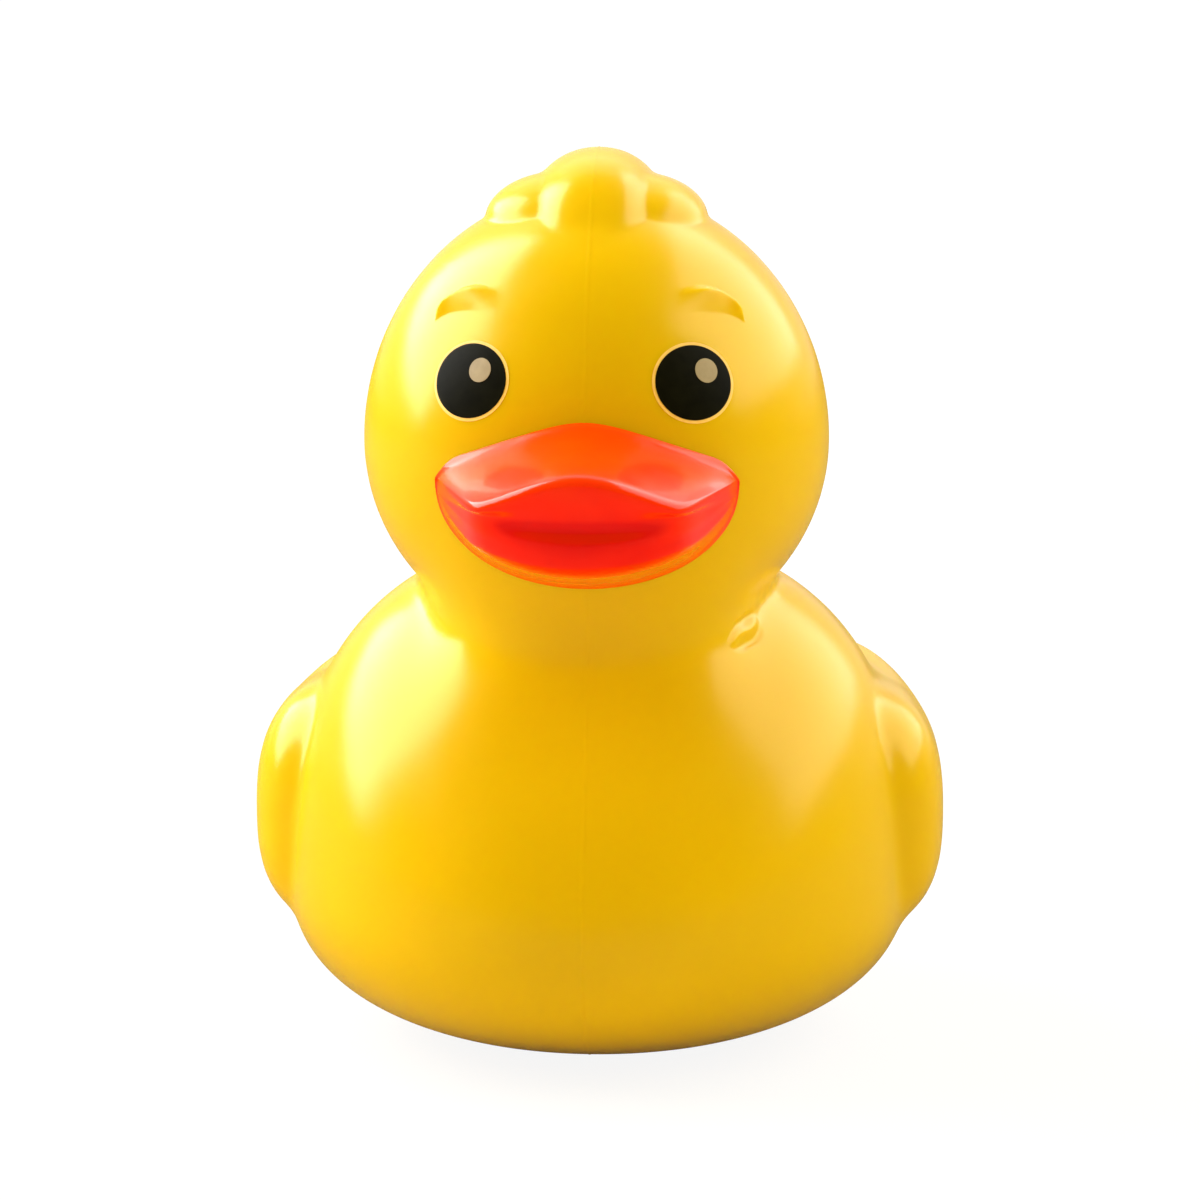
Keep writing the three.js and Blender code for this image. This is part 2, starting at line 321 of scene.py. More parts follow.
# %% [markdown]
# One skin
#
# Joining only puts the eggs into one object. They still run through each other inside, and a voxel remesh
# turns them into a single closed skin, as if the duck had been poured. Its mesh is even and fine, which is
# what small details need.

# %% Join and remesh
SKIN_GRAIN = 0.62

bpy.ops.object.select_all(action="DESELECT")
for egg in (body, *wings, head, middle_lobe, *side_lobes):
    egg.select_set(True)
bpy.context.view_layer.objects.active = body
bpy.ops.object.join()
skin = body
skin.name = "skin"
finish_with(skin, "REMESH", mode="VOXEL", voxel_size=SKIN_GRAIN * MM)
print("skin faces:", len(skin.data.polygons))

# %% [markdown]
# Soft creases
#
# Where two eggs met there is now a sharp valley, and soft vinyl has none. A bevel would give every valley
# the same round, but the real neck is tight at the sides and flows at the throat, and the middle lobe of
# the tuft flows into the forehead. So the skin settles on a rule: the gap to each egg is known, the lesser
# gap counts, and where two gaps are nearly alike they are poured together. How softly depends on the place.
# The middle lobe reaches no higher than a sheet that lifts off the forehead little by little, so its front
# has no edge and its sides are two walls.

# %% The gap to the duck
NECK_ROUND = 2
THROAT_ROUND = 16
THROAT_BACK = -8
THROAT_FRONT = -26
WING_ROUND = 0.8
LOBE_ROUND = 0.4
TONGUE_TIP = -17.5
TONGUE_SLOPE = 0.6
TONGUE_START = 2
TONGUE_ROUND = 2.2
TONGUE_SOFTENING = 0.4
BASE_ROUND = 1.6


def ease(share):
    share = np.clip(share, 0, 1)
    return share * share * (3 - 2 * share)


def gap_to(egg, places):
    """How far places lie outside an egg, along the lines from its middle."""
    away = places - np.array(egg["centre"])
    x = away[:, 0] / egg["half_width"]
    y = away[:, 1] / np.where(away[:, 1] < 0, egg["front"], egg["back"])
    z = away[:, 2] / np.where(away[:, 2] < 0, egg["down"], egg["up"])
    turn = np.arctan2(y, x)
    around = np.hypot(x, y) / reach(np.cos(turn), np.sin(turn), egg["plan"])
    forwards = np.maximum(0, -np.sin(turn)) ** 2
    fullness = np.where(z < 0, egg["hull"], egg["dome"] + (egg["chest"] - egg["dome"]) * forwards)
    return np.linalg.norm(away, axis=1) * (1 - reach(around, z, fullness))


def pour(gap, other, softness):
    """The lesser of two gaps, rounded where they are nearly alike."""
    alike = np.maximum(softness - np.abs(gap - other), 0) / softness
    return np.minimum(gap, other) - softness * alike ** 2 / 4


def gap_to_duck(places):
    flank = gap_to(eggs["body"], places)
    bare_head = gap_to(eggs["head"], places)
    crown = bare_head
    for side in (-1, 1):
        flank = pour(flank, gap_to(eggs[f"wing {side}"], places), WING_ROUND)
        crown = pour(crown, gap_to(eggs[f"side lobe {side}"], places), LOBE_ROUND)
    behind_tip = np.maximum(0, places[:, 1] - TONGUE_TIP)
    sheet_gap = bare_head - TONGUE_SLOPE * behind_tip ** 2 / (behind_tip + TONGUE_START)
    softness = TONGUE_ROUND + TONGUE_SOFTENING * behind_tip
    crown = pour(crown, -pour(-gap_to(eggs["middle lobe"], places), -sheet_gap, softness), LOBE_ROUND)
    front = ease((THROAT_BACK - places[:, 1]) / (THROAT_BACK - THROAT_FRONT))
    whole = pour(flank, crown, NECK_ROUND + (THROAT_ROUND - NECK_ROUND) * front)
    return -pour(-whole, places[:, 2], BASE_ROUND)


nose = np.array([[head_centre.x, head_centre.y - HEAD_HALF_DEPTH, head_centre.z]])
print("gap at the front of the head in mm:", round(float(gap_to_duck(nose)[0]), 2))

# %% [markdown]
# Every vertex slides to where the gap is nothing. The tail and the tips of the wings were drawn out by hand
# and the rule does not know of that, so vertices within reach of those pulls stay where they are. In the
# deep valley of the neck the faces get crowded, so the skin is remeshed and settles once more. A light
# smooth takes the marks of the voxels away before that, and the tuft's faces are divided, because its
# creases are finer than the mesh. Below the tuft, one more smooth evens out what is left.

# %% Settle the skin
TUFT_LOW = 75
VOXEL_SMOOTHS = 5
HALF_WAY = 0.5
SETTLE_STEPS = 4
NUDGE = 0.02
HAND_EDGE = 3


def settle(piece):
    places = np.array([vertex.co for vertex in piece.data.vertices]) / MM
    held = np.ones(len(places))
    for pulled, hand in pulls:
        from_pull = np.linalg.norm(places - np.array(pulled), axis=1)
        held = np.minimum(held, ease((from_pull - hand) / HAND_EDGE))
    settled = places
    nudges = np.eye(3) * NUDGE
    for step in range(SETTLE_STEPS):
        gap = gap_to_duck(settled)
        slope = np.stack([(gap_to_duck(settled + nudge) - gap) / NUDGE for nudge in nudges], axis=1)
        settled = settled - slope * (gap / (slope ** 2).sum(axis=1))[:, None]
    for vertex, place in zip(piece.data.vertices, places + (settled - places) * held[:, None]):
        vertex.co = Vector(place) * MM
    return round(float(np.abs(gap).max()), 3)


print("gap left in mm:", settle(skin))
finish_with(skin, "REMESH", mode="VOXEL", voxel_size=SKIN_GRAIN * MM)
finish_with(skin, "SMOOTH", factor=HALF_WAY, iterations=VOXEL_SMOOTHS)
pick(skin, lambda co: co.z > TUFT_LOW * MM)
bpy.ops.mesh.subdivide(number_cuts=1, smoothness=1)
done_editing()
print("gap left in mm:", settle(skin), "skin faces:", len(skin.data.polygons))
pick(skin, lambda co: co.z < TUFT_LOW * MM)
bpy.ops.mesh.vertices_smooth(factor=HALF_WAY, repeat=VOXEL_SMOOTHS)
done_editing()

# %% [markdown]
# The face of the head
#
# Brows, bill and eyes all sit on the front of the head, so we need to know where that is: a place across it
# and a height above its widest level give the point on the egg, and the way out of it there.


# %% Places on the face
def between(a, b, share):
    return a + (b - a) * share


def on_face(across, height):
    tall = HEAD_DROP if height < 0 else HEAD_RISE
    inside = max(0, 1 - (across / HEAD_HALF_WIDTH) ** 2 - (height / tall) ** 2)
    return head_centre + Vector((across, -HEAD_HALF_DEPTH * math.sqrt(inside), height))


def out_of_face(across, height):
    tall = HEAD_DROP if height < 0 else HEAD_RISE
    x, y, z = on_face(across, height) - head_centre
    return Vector((x / HEAD_HALF_WIDTH ** 2, y / HEAD_HALF_DEPTH ** 2, z / tall ** 2)).normalized()


print("tip of the nose in mm:", [round(part, 1) for part in on_face(0, 0)])

# %% [markdown]
# The brows
#
# Each brow is a raised crescent in the same moulding. Its face leans out a little more towards its upper
# edge, where it ends in a small crisp step. The skin's mesh is too coarse for that, so the faces there are
# subdivided first. Then each vertex rises by its place between the lower and the upper line of the
# crescent.

# %% Brows
BROW_INNER = 7.8
BROW_APEX = 9.6
BROW_OUTER = 14.1
BROW_FADE = 4
BROW_TIP = 12.1
BROW_LOW = 13.5
BROW_HIGH = 15.8
BROW_BOW = 0.6
BROW_PROUD = 0.9
BROW_EDGE = 0.3
BROW_ENDS = 2
BROW_MARGIN = 1
BROW_CUTS = 3


def brow_rise(across, height):
    """How far the brow stands out at a place: it grows to its upper edge and ends there in a step."""
    out = (abs(across) - BROW_APEX) / (BROW_OUTER - BROW_APEX)
    arc = max(0, 1 - out ** 2) ** BROW_BOW
    low, high = between(BROW_TIP, BROW_LOW, arc), between(BROW_TIP, BROW_HIGH, arc)
    share = (height - low) / max(high - low, BROW_EDGE)
    inner = ease((abs(across) - BROW_INNER) / BROW_FADE)
    step = ease((1 - share) / BROW_EDGE)
    return float(BROW_PROUD * inner * min(1, BROW_ENDS * arc) * max(0, share) * step)


def near_brow(co):
    place = co / MM - head_centre
    beside = BROW_INNER < abs(place.x) < BROW_OUTER + BROW_MARGIN
    return place.y < 0 and beside and BROW_TIP - BROW_MARGIN < place.z < BROW_HIGH + BROW_MARGIN


pick(skin, near_brow)
bpy.ops.mesh.subdivide(number_cuts=BROW_CUTS, smoothness=1)
done_editing()
raised = 0
for vertex in skin.data.vertices:
    if near_brow(vertex.co):
        place = vertex.co / MM - head_centre
        vertex.co += out_of_face(place.x, place.z) * brow_rise(place.x, place.z) * MM
        raised += 1
pick(skin, near_brow)
bpy.ops.mesh.vertices_smooth(factor=HALF_WAY, repeat=1)
done_editing()
print("brow vertices:", raised)

# %% [markdown]
# A crinkle beside the neck
#
# Soft vinyl creases where the neck has been squeezed, and here it stayed crumpled, on the duck's left. The
# faces round that spot are divided and pushed in and out in a wave. The folds run along the neck, a noise
# makes them wander, and they are deepest in the middle and gone at the rim.

# %% Crinkle
CRINKLE = Vector((14.2, -15.1, 41.3))
CRINKLE_HALF_LENGTH = 3.4
CRINKLE_HALF_WIDTH = 1.8
CRINKLE_CUTS = 3
FOLD_DEPTH = 0.26
FOLD_SPACING = 1.9
FOLD_WANDER = 0.3
FOLD_ENDS = 2
FOLD_ALONG = Vector((-0.5, -0.82, -0.28)).normalized()

fold_across = (Vector((0, 0, 1)) - FOLD_ALONG * FOLD_ALONG.z).normalized()


def near_crinkle(co):
    return (co / MM - CRINKLE).length < CRINKLE_HALF_LENGTH


pick(skin, near_crinkle)
bpy.ops.mesh.subdivide(number_cuts=CRINKLE_CUTS, smoothness=1)
done_editing()
crumpled = [vertex for vertex in skin.data.vertices if near_crinkle(vertex.co)]
outward = [vertex.normal.copy() for vertex in crumpled]
for vertex, way in zip(crumpled, outward):
    place = vertex.co / MM - CRINKLE
    along, across = place.dot(FOLD_ALONG), place.dot(fold_across)
    rim = 1 - math.hypot(along / CRINKLE_HALF_LENGTH, across / CRINKLE_HALF_WIDTH)
    wander = FOLD_WANDER * noise.noise(place / CRINKLE_HALF_LENGTH)
    fold = math.cos(2 * math.pi * (across / FOLD_SPACING + wander))
    vertex.co += way * float(FOLD_DEPTH * fold * ease(FOLD_ENDS * rim)) * MM
print("crinkled vertices:", len(crumpled))

# %% [markdown]
# The mould seam
#
# Two halves of a mould meet on the middle plane and leave a hair-thin line of vinyl there. Three bisects
# lay edges along it, and the middle one is lifted by a few hundredths of a millimetre.

# %% Mould seam
SEAM_HALF_WIDTH = 0.16
SEAM_PROUD = 0.04

for offset in (-SEAM_HALF_WIDTH, SEAM_HALF_WIDTH, 0):
    pick(skin, lambda co: True)
    bpy.ops.mesh.bisect(plane_co=(offset * MM, 0, 0), plane_no=(1, 0, 0))
    done_editing()
on_seam = [vertex for vertex in skin.data.vertices if vertex.select and vertex.co.z > SEAM_PROUD * MM]
outward = [vertex.normal.copy() for vertex in on_seam]
for vertex, way in zip(on_seam, outward):
    vertex.co += way * SEAM_PROUD * MM
take(skin)
bpy.ops.object.shade_smooth()
print("seam vertices:", len(on_seam), "skin triangles:", triangles(skin))

# %% [markdown]
# The bill
#
# The bill is broad and closed, with a roof that runs out to a lip, a soft valley for the mouth and a lower
# lip that falls back to the chin. A grid is laid over it like a sheet of clay: each column of the grid is
# one cut through the bill from its root above, round the lips, to its root below. The root runs a little
# way over the head, as the paint does, and dips in. Subdivision rounds the sheet, and filling its rim
# inside the head closes it.

# %% Lines of the bill
BILL_HALF_WIDTH = 13.8
BILL_REACH = 11
BILL_BEND = 0.69
BILL_BEND_BACK = 0.17
BILL_CORNER = -1.8
BILL_CREST = 3.8
BILL_SHOULDER = -0.5
BILL_LIP = 0.9
BILL_LIP_DROOP = 2.8
BILL_MOUTH = -4.1
BILL_MOUTH_END = 0.6
BILL_JAW = -8.7
BILL_CHIN = -10.6
CREST_ROUND = 0.24
CORNER_START = 0.84
EDGE_SHARPNESS = 26
LIP_CORNER_RISE = 0.4
LIP_WAVE = 0.7


def plan_of_bill(u):
    """How far out the bill's front is, from 0 at its corners to 1 in the middle: a bow with a bend."""
    u = min(abs(u), 1)
    bow = 1 - BILL_BEND_BACK * (u / BILL_BEND) ** 2
    side = (1 - BILL_BEND_BACK) * (1 - u) / (1 - BILL_BEND)
    least = -math.log(math.exp(-EDGE_SHARPNESS * bow) + math.exp(-EDGE_SHARPNESS * side)) / EDGE_SHARPNESS
    return max(0, least) * min(1, (1 - u) * EDGE_SHARPNESS)


def crest_of_bill(u):
    """The root of the roof: a flat top, straight slopes and a blunt corner."""
    fall = (math.hypot(u, CREST_ROUND) - CREST_ROUND) / (math.hypot(1, CREST_ROUND) - CREST_ROUND)
    blunt = max(0, (abs(u) - CORNER_START) / (1 - CORNER_START)) ** 2
    return between(BILL_CREST, BILL_SHOULDER, fall) + (BILL_CORNER - BILL_SHOULDER) * blunt


def lip_of_bill(u):
    wave = (1 + math.cos(math.pi * min(1, abs(u) / BILL_BEND))) / 2
    rise = max(0, abs(u) - BILL_BEND) / (1 - BILL_BEND)
    rim = between(BILL_LIP - BILL_LIP_DROOP, BILL_CORNER + LIP_CORNER_RISE, rise)
    return rim + BILL_LIP_DROOP * wave ** LIP_WAVE * (1 - rise)


print("bill reaches out to mm:", round(head_centre.y - HEAD_HALF_DEPTH - BILL_REACH, 1))

# %% [markdown]
# A cut is a row of points: from the roof's root, along the roof, round the lip, through the valley of the
# mouth, over the lower lip and back to the chin. Most of them lie close to the foremost line of the bill,
# so each gets a set-back from it. Small differences between the set-backs are what make a lip, a valley and
# a chin.

# %% Set-backs of a cut
ROOF_SET_BACK = 1.0
LIP_SET_BACK = 0.25
LIP_FACE_SET_BACK = 0.05
LIP_UNDER_SET_BACK = 0.5
MOUTH_TOP_SET_BACK = 0.9
MOUTH_TOP_DEPTH = 0.3
MOUTH_SET_BACK = 1.2
MOUTH_DEPTH = 1.0
LOWER_LIP_SET_BACK = 1.5
CHIN_FACE_SET_BACK = 2.0
JAW_ROUND_SET_BACK = 3.2
JAW_SET_BACK = 4.4
JAW_SIDE_SET_BACK = 2.2

print("the mouth lies behind the lip by mm:", MOUTH_SET_BACK + MOUTH_DEPTH - LIP_FACE_SET_BACK)

# %% [markdown]
# The heights of these points come from the bill's lines, with a few thicknesses and shares of the way
# between two lines. At its root the paint's film lies on the skin and then sinks into it, so no edge of the
# sheet shows.

# %% Thicknesses and shares of a cut
PAINT_EDGE = 0.5
PAINT_FILM = 0.05
ROOT_SINK = 1
ROOT_SWELL = 0.35
ROOT_LIFT = 0.1
ROOF_STEPS = (0.16, 0.5, 0.82)
LIP_HALF_THICKNESS = 0.15
LIP_FACE = 0.8
MOUTH_CORNER_DROP = 0.6
MOUTH_HALF_GAP = 1.1
MOUTH_SQUARENESS = 4
MIDDLE_TAPER = 0.12
JAW_TAPER = 0.22
JAW_FULLNESS = 1.2
CHIN_FACE_SHARE = 0.55
JAW_ROUND_SHARE = 0.9
JAW_EDGE_SHARE = 0.1
JAW_UNDER_SHARE = 0.6
CHIN_FULLNESS = 0.9
CHIN_LIFT = 0.4
CHIN_SWELL = 0.6

print("points along the roof:", len(ROOF_STEPS))

# %% [markdown]
# The paint is sprayed on and runs out thin at its rims. Its red also carries painted light and shade: the
# roof is painted a paler orange, as light falls on it, the rim over the chin is paler, and the valley of the
# mouth, the lower lip, the chin face and the jaw are painted a deeper red, as shade falls there. A texture
# could say where, but the sheet's own points know it best, so each carries how red the paint is there. The
# last five values add painted shade to the red of the front.

# %% Red of the paint, with painted light and shade
ROOT_RED = 0.3
# Painted light: the roof carries a paler red than the front.
ROOF_RED = 0.4
EDGE_RED = 0.45
LIP_RED = 0.5
FRONT_RED = 0.6
LIP_UNDER_RED = 0.65
RIM_PALING = 0.25
# Painted shade: a deeper red over, in and under the mouth, on the chin face and on the jaw.
SHADE_OVER_MOUTH = 0.15
SHADE_IN_MOUTH = 0.6
SHADE_UNDER_MOUTH = 0.3
SHADE_ON_CHIN = 0.2
SHADE_ON_JAW = 0.12

print("reddest paint:", FRONT_RED + SHADE_IN_MOUTH)


# %% One cut through the bill
def bill_cut(u):
    """One cut, from inside the head above the bill to inside the head below it, with its paint's red, which
    carries painted light and shade.
    """
    across = BILL_HALF_WIDTH * u
    share = math.sqrt(max(0, 1 - u * u))
    crest, lip = crest_of_bill(u), lip_of_bill(u)
    mouth = between(BILL_CORNER - MOUTH_CORNER_DROP, BILL_MOUTH, share)
    jaw = between(BILL_CORNER, BILL_JAW, share ** JAW_FULLNESS)
    chin = between(BILL_CORNER, BILL_CHIN, share ** CHIN_FULLNESS)
    corner_y = on_face(BILL_HALF_WIDTH, BILL_CORNER).y
    tip_y = head_centre.y - HEAD_HALF_DEPTH - BILL_REACH
    valley = max(0, 1 - (u / BILL_MOUTH_END) ** MOUTH_SQUARENESS)
    top = plan_of_bill(u)
    middle = top * (1 - MIDDLE_TAPER * u ** 2)
    low = top * (1 - JAW_TAPER * u ** 2)
    paling = RIM_PALING * share ** 3

    def at(plan, back, height):
        return Vector((across, between(corner_y, tip_y, plan) + back * plan, head_centre.z + height))

    def on_skin(height, proud):
        place = on_face(across, height)
        poured = -float(gap_to_duck(np.array([place]))[0])
        return place + out_of_face(across, height) * (poured + proud)

    root = on_face(across, crest)
    under = on_skin(chin, 0)
    edge = at(top, ROOF_SET_BACK, lip + LIP_HALF_THICKNESS * top)
    mouth_gap = MOUTH_HALF_GAP * middle
    mouth_top = at(middle, MOUTH_TOP_SET_BACK + MOUTH_TOP_DEPTH * valley, mouth + mouth_gap)
    mouth_floor = at(middle, MOUTH_SET_BACK + MOUTH_DEPTH * valley, mouth)
    chin_face = at(low, CHIN_FACE_SET_BACK, between(mouth, jaw, CHIN_FACE_SHARE))
    jaw_round = at(low, JAW_ROUND_SET_BACK, between(mouth, jaw, JAW_ROUND_SHARE))
    jaw_edge = at(low, JAW_SET_BACK - JAW_SIDE_SET_BACK * u ** 2, jaw)
    return [
        (on_skin(crest + 2 * PAINT_EDGE, -ROOT_SINK), 0),
        (on_skin(crest + PAINT_EDGE, PAINT_FILM), 0),
        (on_skin(crest + ROOT_LIFT, ROOT_SWELL * top + PAINT_FILM), ROOT_RED),
        # Painted light: the roof's points carry a paler red.
        *[(between(root, edge, step), ROOF_RED) for step in ROOF_STEPS],
        (edge, EDGE_RED),
        (at(top, LIP_SET_BACK, lip - LIP_HALF_THICKNESS * top), LIP_RED),
        (at(top, LIP_FACE_SET_BACK, lip - LIP_FACE * top), FRONT_RED),
        (at(top, LIP_UNDER_SET_BACK, (lip + mouth) / 2), LIP_UNDER_RED),
        # Painted shade: the points round the mouth, on the chin face and on the jaw carry a deeper red.
        (mouth_top, FRONT_RED + SHADE_OVER_MOUTH * valley),
        (mouth_floor, FRONT_RED + SHADE_IN_MOUTH * valley),
        (at(middle, LOWER_LIP_SET_BACK, mouth - mouth_gap), FRONT_RED + SHADE_UNDER_MOUTH * valley),
        (chin_face, FRONT_RED + SHADE_ON_CHIN * share),
        (jaw_round, FRONT_RED + SHADE_ON_JAW * share),
        (between(jaw_edge, under, JAW_EDGE_SHARE), LIP_RED),
        (between(jaw_edge, under, JAW_UNDER_SHARE), LIP_RED - paling),
        (on_skin(chin + CHIN_LIFT, CHIN_SWELL * low + PAINT_FILM), ROOF_RED - paling),
        (on_skin(chin - PAINT_EDGE, PAINT_FILM), 0),
        (on_skin(chin - 2 * PAINT_EDGE, -ROOT_SINK), 0),
    ]


print("points in a cut:", len(bill_cut(0)))

# %% [markdown]
# Now the sheet itself. A grid of one unit is added with a column for each cut, and its vertices go to the
# points of the cuts. The cuts stand closer together towards the corners, where the bill turns fastest.
# Points that fall together at the corners are welded, and the rim inside the head is filled, so the bill is
# a closed piece.

# %% Lay the sheet
BILL_CUTS = 37
BILL_LEVELS = 2
WELD = 0.002

points_in_cut = len(bill_cut(0))
bpy.ops.object.select_all(action="DESELECT")
bpy.ops.mesh.primitive_grid_add(x_subdivisions=BILL_CUTS - 1, y_subdivisions=points_in_cut - 1, size=1)
bill = bpy.context.object
bill.name = "bill"
# Each point carries its paint's red, and that red holds painted light and painted shade.
red_and_painted_shade = bill.data.attributes.new("painted_shade_and_red", "FLOAT", "POINT")
cuts = [bill_cut(math.sin(math.pi / 2 * (-1 + 2 * cut / (BILL_CUTS - 1)))) for cut in range(BILL_CUTS)]
for vertex in bill.data.vertices:
    cut = round((vertex.co.x + 0.5) * (BILL_CUTS - 1))
    point = round((0.5 - vertex.co.y) * (points_in_cut - 1))
    place, depth = cuts[cut][point]
    vertex.co = place * MM
    red_and_painted_shade.data[vertex.index].value = depth
finish_with(bill, "SUBSURF", levels=BILL_LEVELS, render_levels=BILL_LEVELS)
take(bill)
bpy.ops.object.mode_set(mode="EDIT")
bpy.ops.mesh.select_all(action="SELECT")
bpy.ops.mesh.remove_doubles(threshold=WELD * MM)
bpy.ops.mesh.select_all(action="DESELECT")
bpy.ops.mesh.select_non_manifold()
bpy.ops.mesh.fill()
bpy.ops.mesh.select_all(action="SELECT")
bpy.ops.mesh.normals_make_consistent(inside=False)
done_editing()
bpy.ops.object.shade_smooth()
print("bill triangles:", triangles(bill))

# %% [markdown]
# The eyes
#
# The eyes are printed flat on the head in three passes: a cream disc, a black disc on it that leaves a thin
# border, and a pale spot. Each is a film of ink that follows the egg, so a flat disc is filled with rings,
# laid on the head by a shrinkwrap and given the thickness of ink.

# %% Print a disc
EYE_ACROSS = 10.15
EYE_SHIFT = -0.4
EYE_HEIGHT = 7.55
EYE_HALF_WIDTH = 4.1
EYE_HALF_HEIGHT = 3.75
EYE_LEAN = math.radians(7)
EYE_BORDER = 0.3
GLINT_ACROSS = 1.0
GLINT_HEIGHT = 0.95
GLINT_HALF_WIDTH = 1.12
GLINT_HALF_HEIGHT = 1.12
INK_FILM = 0.04
INK_RINGS = 6
INK_RINGS_SHARE = 0.9
INK_EDGE_ANGLE = math.radians(40)
DISC_SIDES = 96


def print_disc(name, across, height, half_width, half_height, lean, layer):
    bpy.ops.object.select_all(action="DESELECT")
    bpy.ops.mesh.primitive_circle_add(vertices=DISC_SIDES, radius=1, fill_type="NGON")
    disc = bpy.context.object
    disc.name = name
    bpy.ops.object.mode_set(mode="EDIT")
    for ring in range(INK_RINGS):
        bpy.ops.mesh.inset(thickness=INK_RINGS_SHARE / INK_RINGS, depth=0)
    bpy.ops.mesh.poke()
    done_editing()
    out = out_of_face(across, height)
    sideways = Vector((0, 0, 1)).cross(out).normalized()
    turned = Matrix.Rotation(lean, 3, out)
    right = turned @ sideways
    up = turned @ out.cross(sideways)
    middle = on_face(across, height)
    for vertex in disc.data.vertices:
        flat = right * vertex.co.x * half_width + up * vertex.co.y * half_height
        vertex.co = (middle + flat) * MM
    finish_with(
        disc, "SHRINKWRAP", target=skin, wrap_method="NEAREST_SURFACEPOINT",
        wrap_mode="ABOVE_SURFACE", offset=layer * INK_FILM * MM,
    )
    finish_with(disc, "SOLIDIFY", thickness=2 * layer * INK_FILM * MM, offset=-1)
    take(disc)
    bpy.ops.object.mode_set(mode="EDIT")
    bpy.ops.mesh.select_all(action="SELECT")
    bpy.ops.mesh.normals_make_consistent(inside=False)
    done_editing()
    bpy.ops.object.shade_smooth_by_angle(angle=INK_EDGE_ANGLE)
    return disc


print("rings in a disc:", INK_RINGS)

# %% Print both eyes
eye_rims, eye_blacks, eye_glints = [], [], []
for side, word in ((-1, "right"), (1, "left")):
    across, lean = side * EYE_ACROSS + EYE_SHIFT, side * EYE_LEAN
    black_half_width = EYE_HALF_WIDTH - EYE_BORDER
    black_half_height = EYE_HALF_HEIGHT - EYE_BORDER
    eye_rims.append(print_disc(
        f"eye_rim_{word}", across, EYE_HEIGHT, EYE_HALF_WIDTH, EYE_HALF_HEIGHT, lean, layer=1,
    ))
    eye_blacks.append(print_disc(
        f"eye_black_{word}", across, EYE_HEIGHT, black_half_width, black_half_height, lean, layer=2,
    ))
    eye_glints.append(print_disc(
        f"eye_glint_{word}", across + GLINT_ACROSS, EYE_HEIGHT + GLINT_HEIGHT,
        GLINT_HALF_WIDTH, GLINT_HALF_HEIGHT, lean=0, layer=3,
    ))
print("prints:", len(eye_rims) + len(eye_blacks) + len(eye_glints))

# %% [markdown]
# Finishes
#
# Each finish is a shader with a few nodes before it: a noise that is fixed to the piece, a ramp that turns
# it into a colour or a gloss, and a bump. These helpers add them, because every finish needs the same ones.
# Most of a noise lies between two levels, so a ramp of a noise starts and ends near them.


# %% A finish with its own nodes
def new_finish(name):
    finish = bpy.data.materials.new(name)
    finish.use_nodes = True
    nodes, links = finish.node_tree.nodes, finish.node_tree.links
    return finish, nodes, links, nodes["Principled BSDF"]


def noise_on(nodes, links, scale, detail=2.0):
    place = nodes.new("ShaderNodeTexCoord")
    grain = nodes.new("ShaderNodeTexNoise")
    grain.inputs["Scale"].default_value = scale
    grain.inputs["Detail"].default_value = detail
    links.new(place.outputs["Object"], grain.inputs["Vector"])
    return grain.outputs["Fac"]


def ramp_on(nodes, links, fac, stops):
    ramp = nodes.new("ShaderNodeValToRGB")
    elements = ramp.color_ramp.elements
    while len(elements) < len(stops):
        elements.new(0.5)
    for element, (position, colour) in zip(elements, stops):
        element.position = position
        element.color = (*colour, 1)
    links.new(fac, ramp.inputs["Fac"])
    return ramp.outputs["Color"]


def bump_on(nodes, links, height, strength, distance):
    bump = nodes.new("ShaderNodeBump")
    bump.inputs["Strength"].default_value = strength
    bump.inputs["Distance"].default_value = distance
    links.new(height, bump.inputs["Height"])
    return bump.outputs["Normal"]


def grey(value):
    return (value, value, value)


NOISE_LOW = 0.3
NOISE_HIGH = 0.7
print("most of a noise lies between:", NOISE_LOW, NOISE_HIGH)

# %% [markdown]
# Soft vinyl lets a little light in, so its shader has some subsurface scattering under its gloss. Nothing
# made in a mould is even all over: a slow noise changes the colour a little, a fine one changes the gloss,
# and a third one bends the reflections as slight waves of the surface do.

# %% Yellow vinyl
DEEP_YELLOW = (0.71, 0.44, 0.0)
PALE_YELLOW = (0.77, 0.48, 0.0)
VINYL_SMOOTHEST = 0.205
VINYL_DULLEST = 0.262

vinyl, nodes, links, shader = new_finish("yellow_vinyl")
slow_grain = noise_on(nodes, links, scale=45)
tone = ramp_on(nodes, links, slow_grain, [(NOISE_LOW, DEEP_YELLOW), (NOISE_HIGH, PALE_YELLOW)])
links.new(tone, shader.inputs["Base Color"])
fine_grain = noise_on(nodes, links, scale=200, detail=4)
gloss = ramp_on(nodes, links, fine_grain, [
    (NOISE_LOW, grey(VINYL_SMOOTHEST)), (NOISE_HIGH, grey(VINYL_DULLEST)),
])
links.new(gloss, shader.inputs["Roughness"])
waves = bump_on(nodes, links, noise_on(nodes, links, scale=75), strength=0.2, distance=0.5 * MM)
links.new(waves, shader.inputs["Normal"])
shader.inputs["Specular Tint"].default_value = (1.0, 0.9, 0.5, 1)
shader.inputs["Subsurface Weight"].default_value = 0.3
shader.inputs["Subsurface Radius"].default_value = (1.0, 0.55, 0.08)
shader.inputs["Subsurface Scale"].default_value = 2.5 * MM
skin.data.materials.clear()
skin.data.materials.append(vinyl)
print("finish:", vinyl.name)

# %% [markdown]
# The bill's paint is harder and glossier than the vinyl, so it gets a clear coat. Its colour follows the
# red that the sheet's points carry, from a thin orange with painted light to a deep red with painted shade,
# and a noise makes the spray a little uneven.

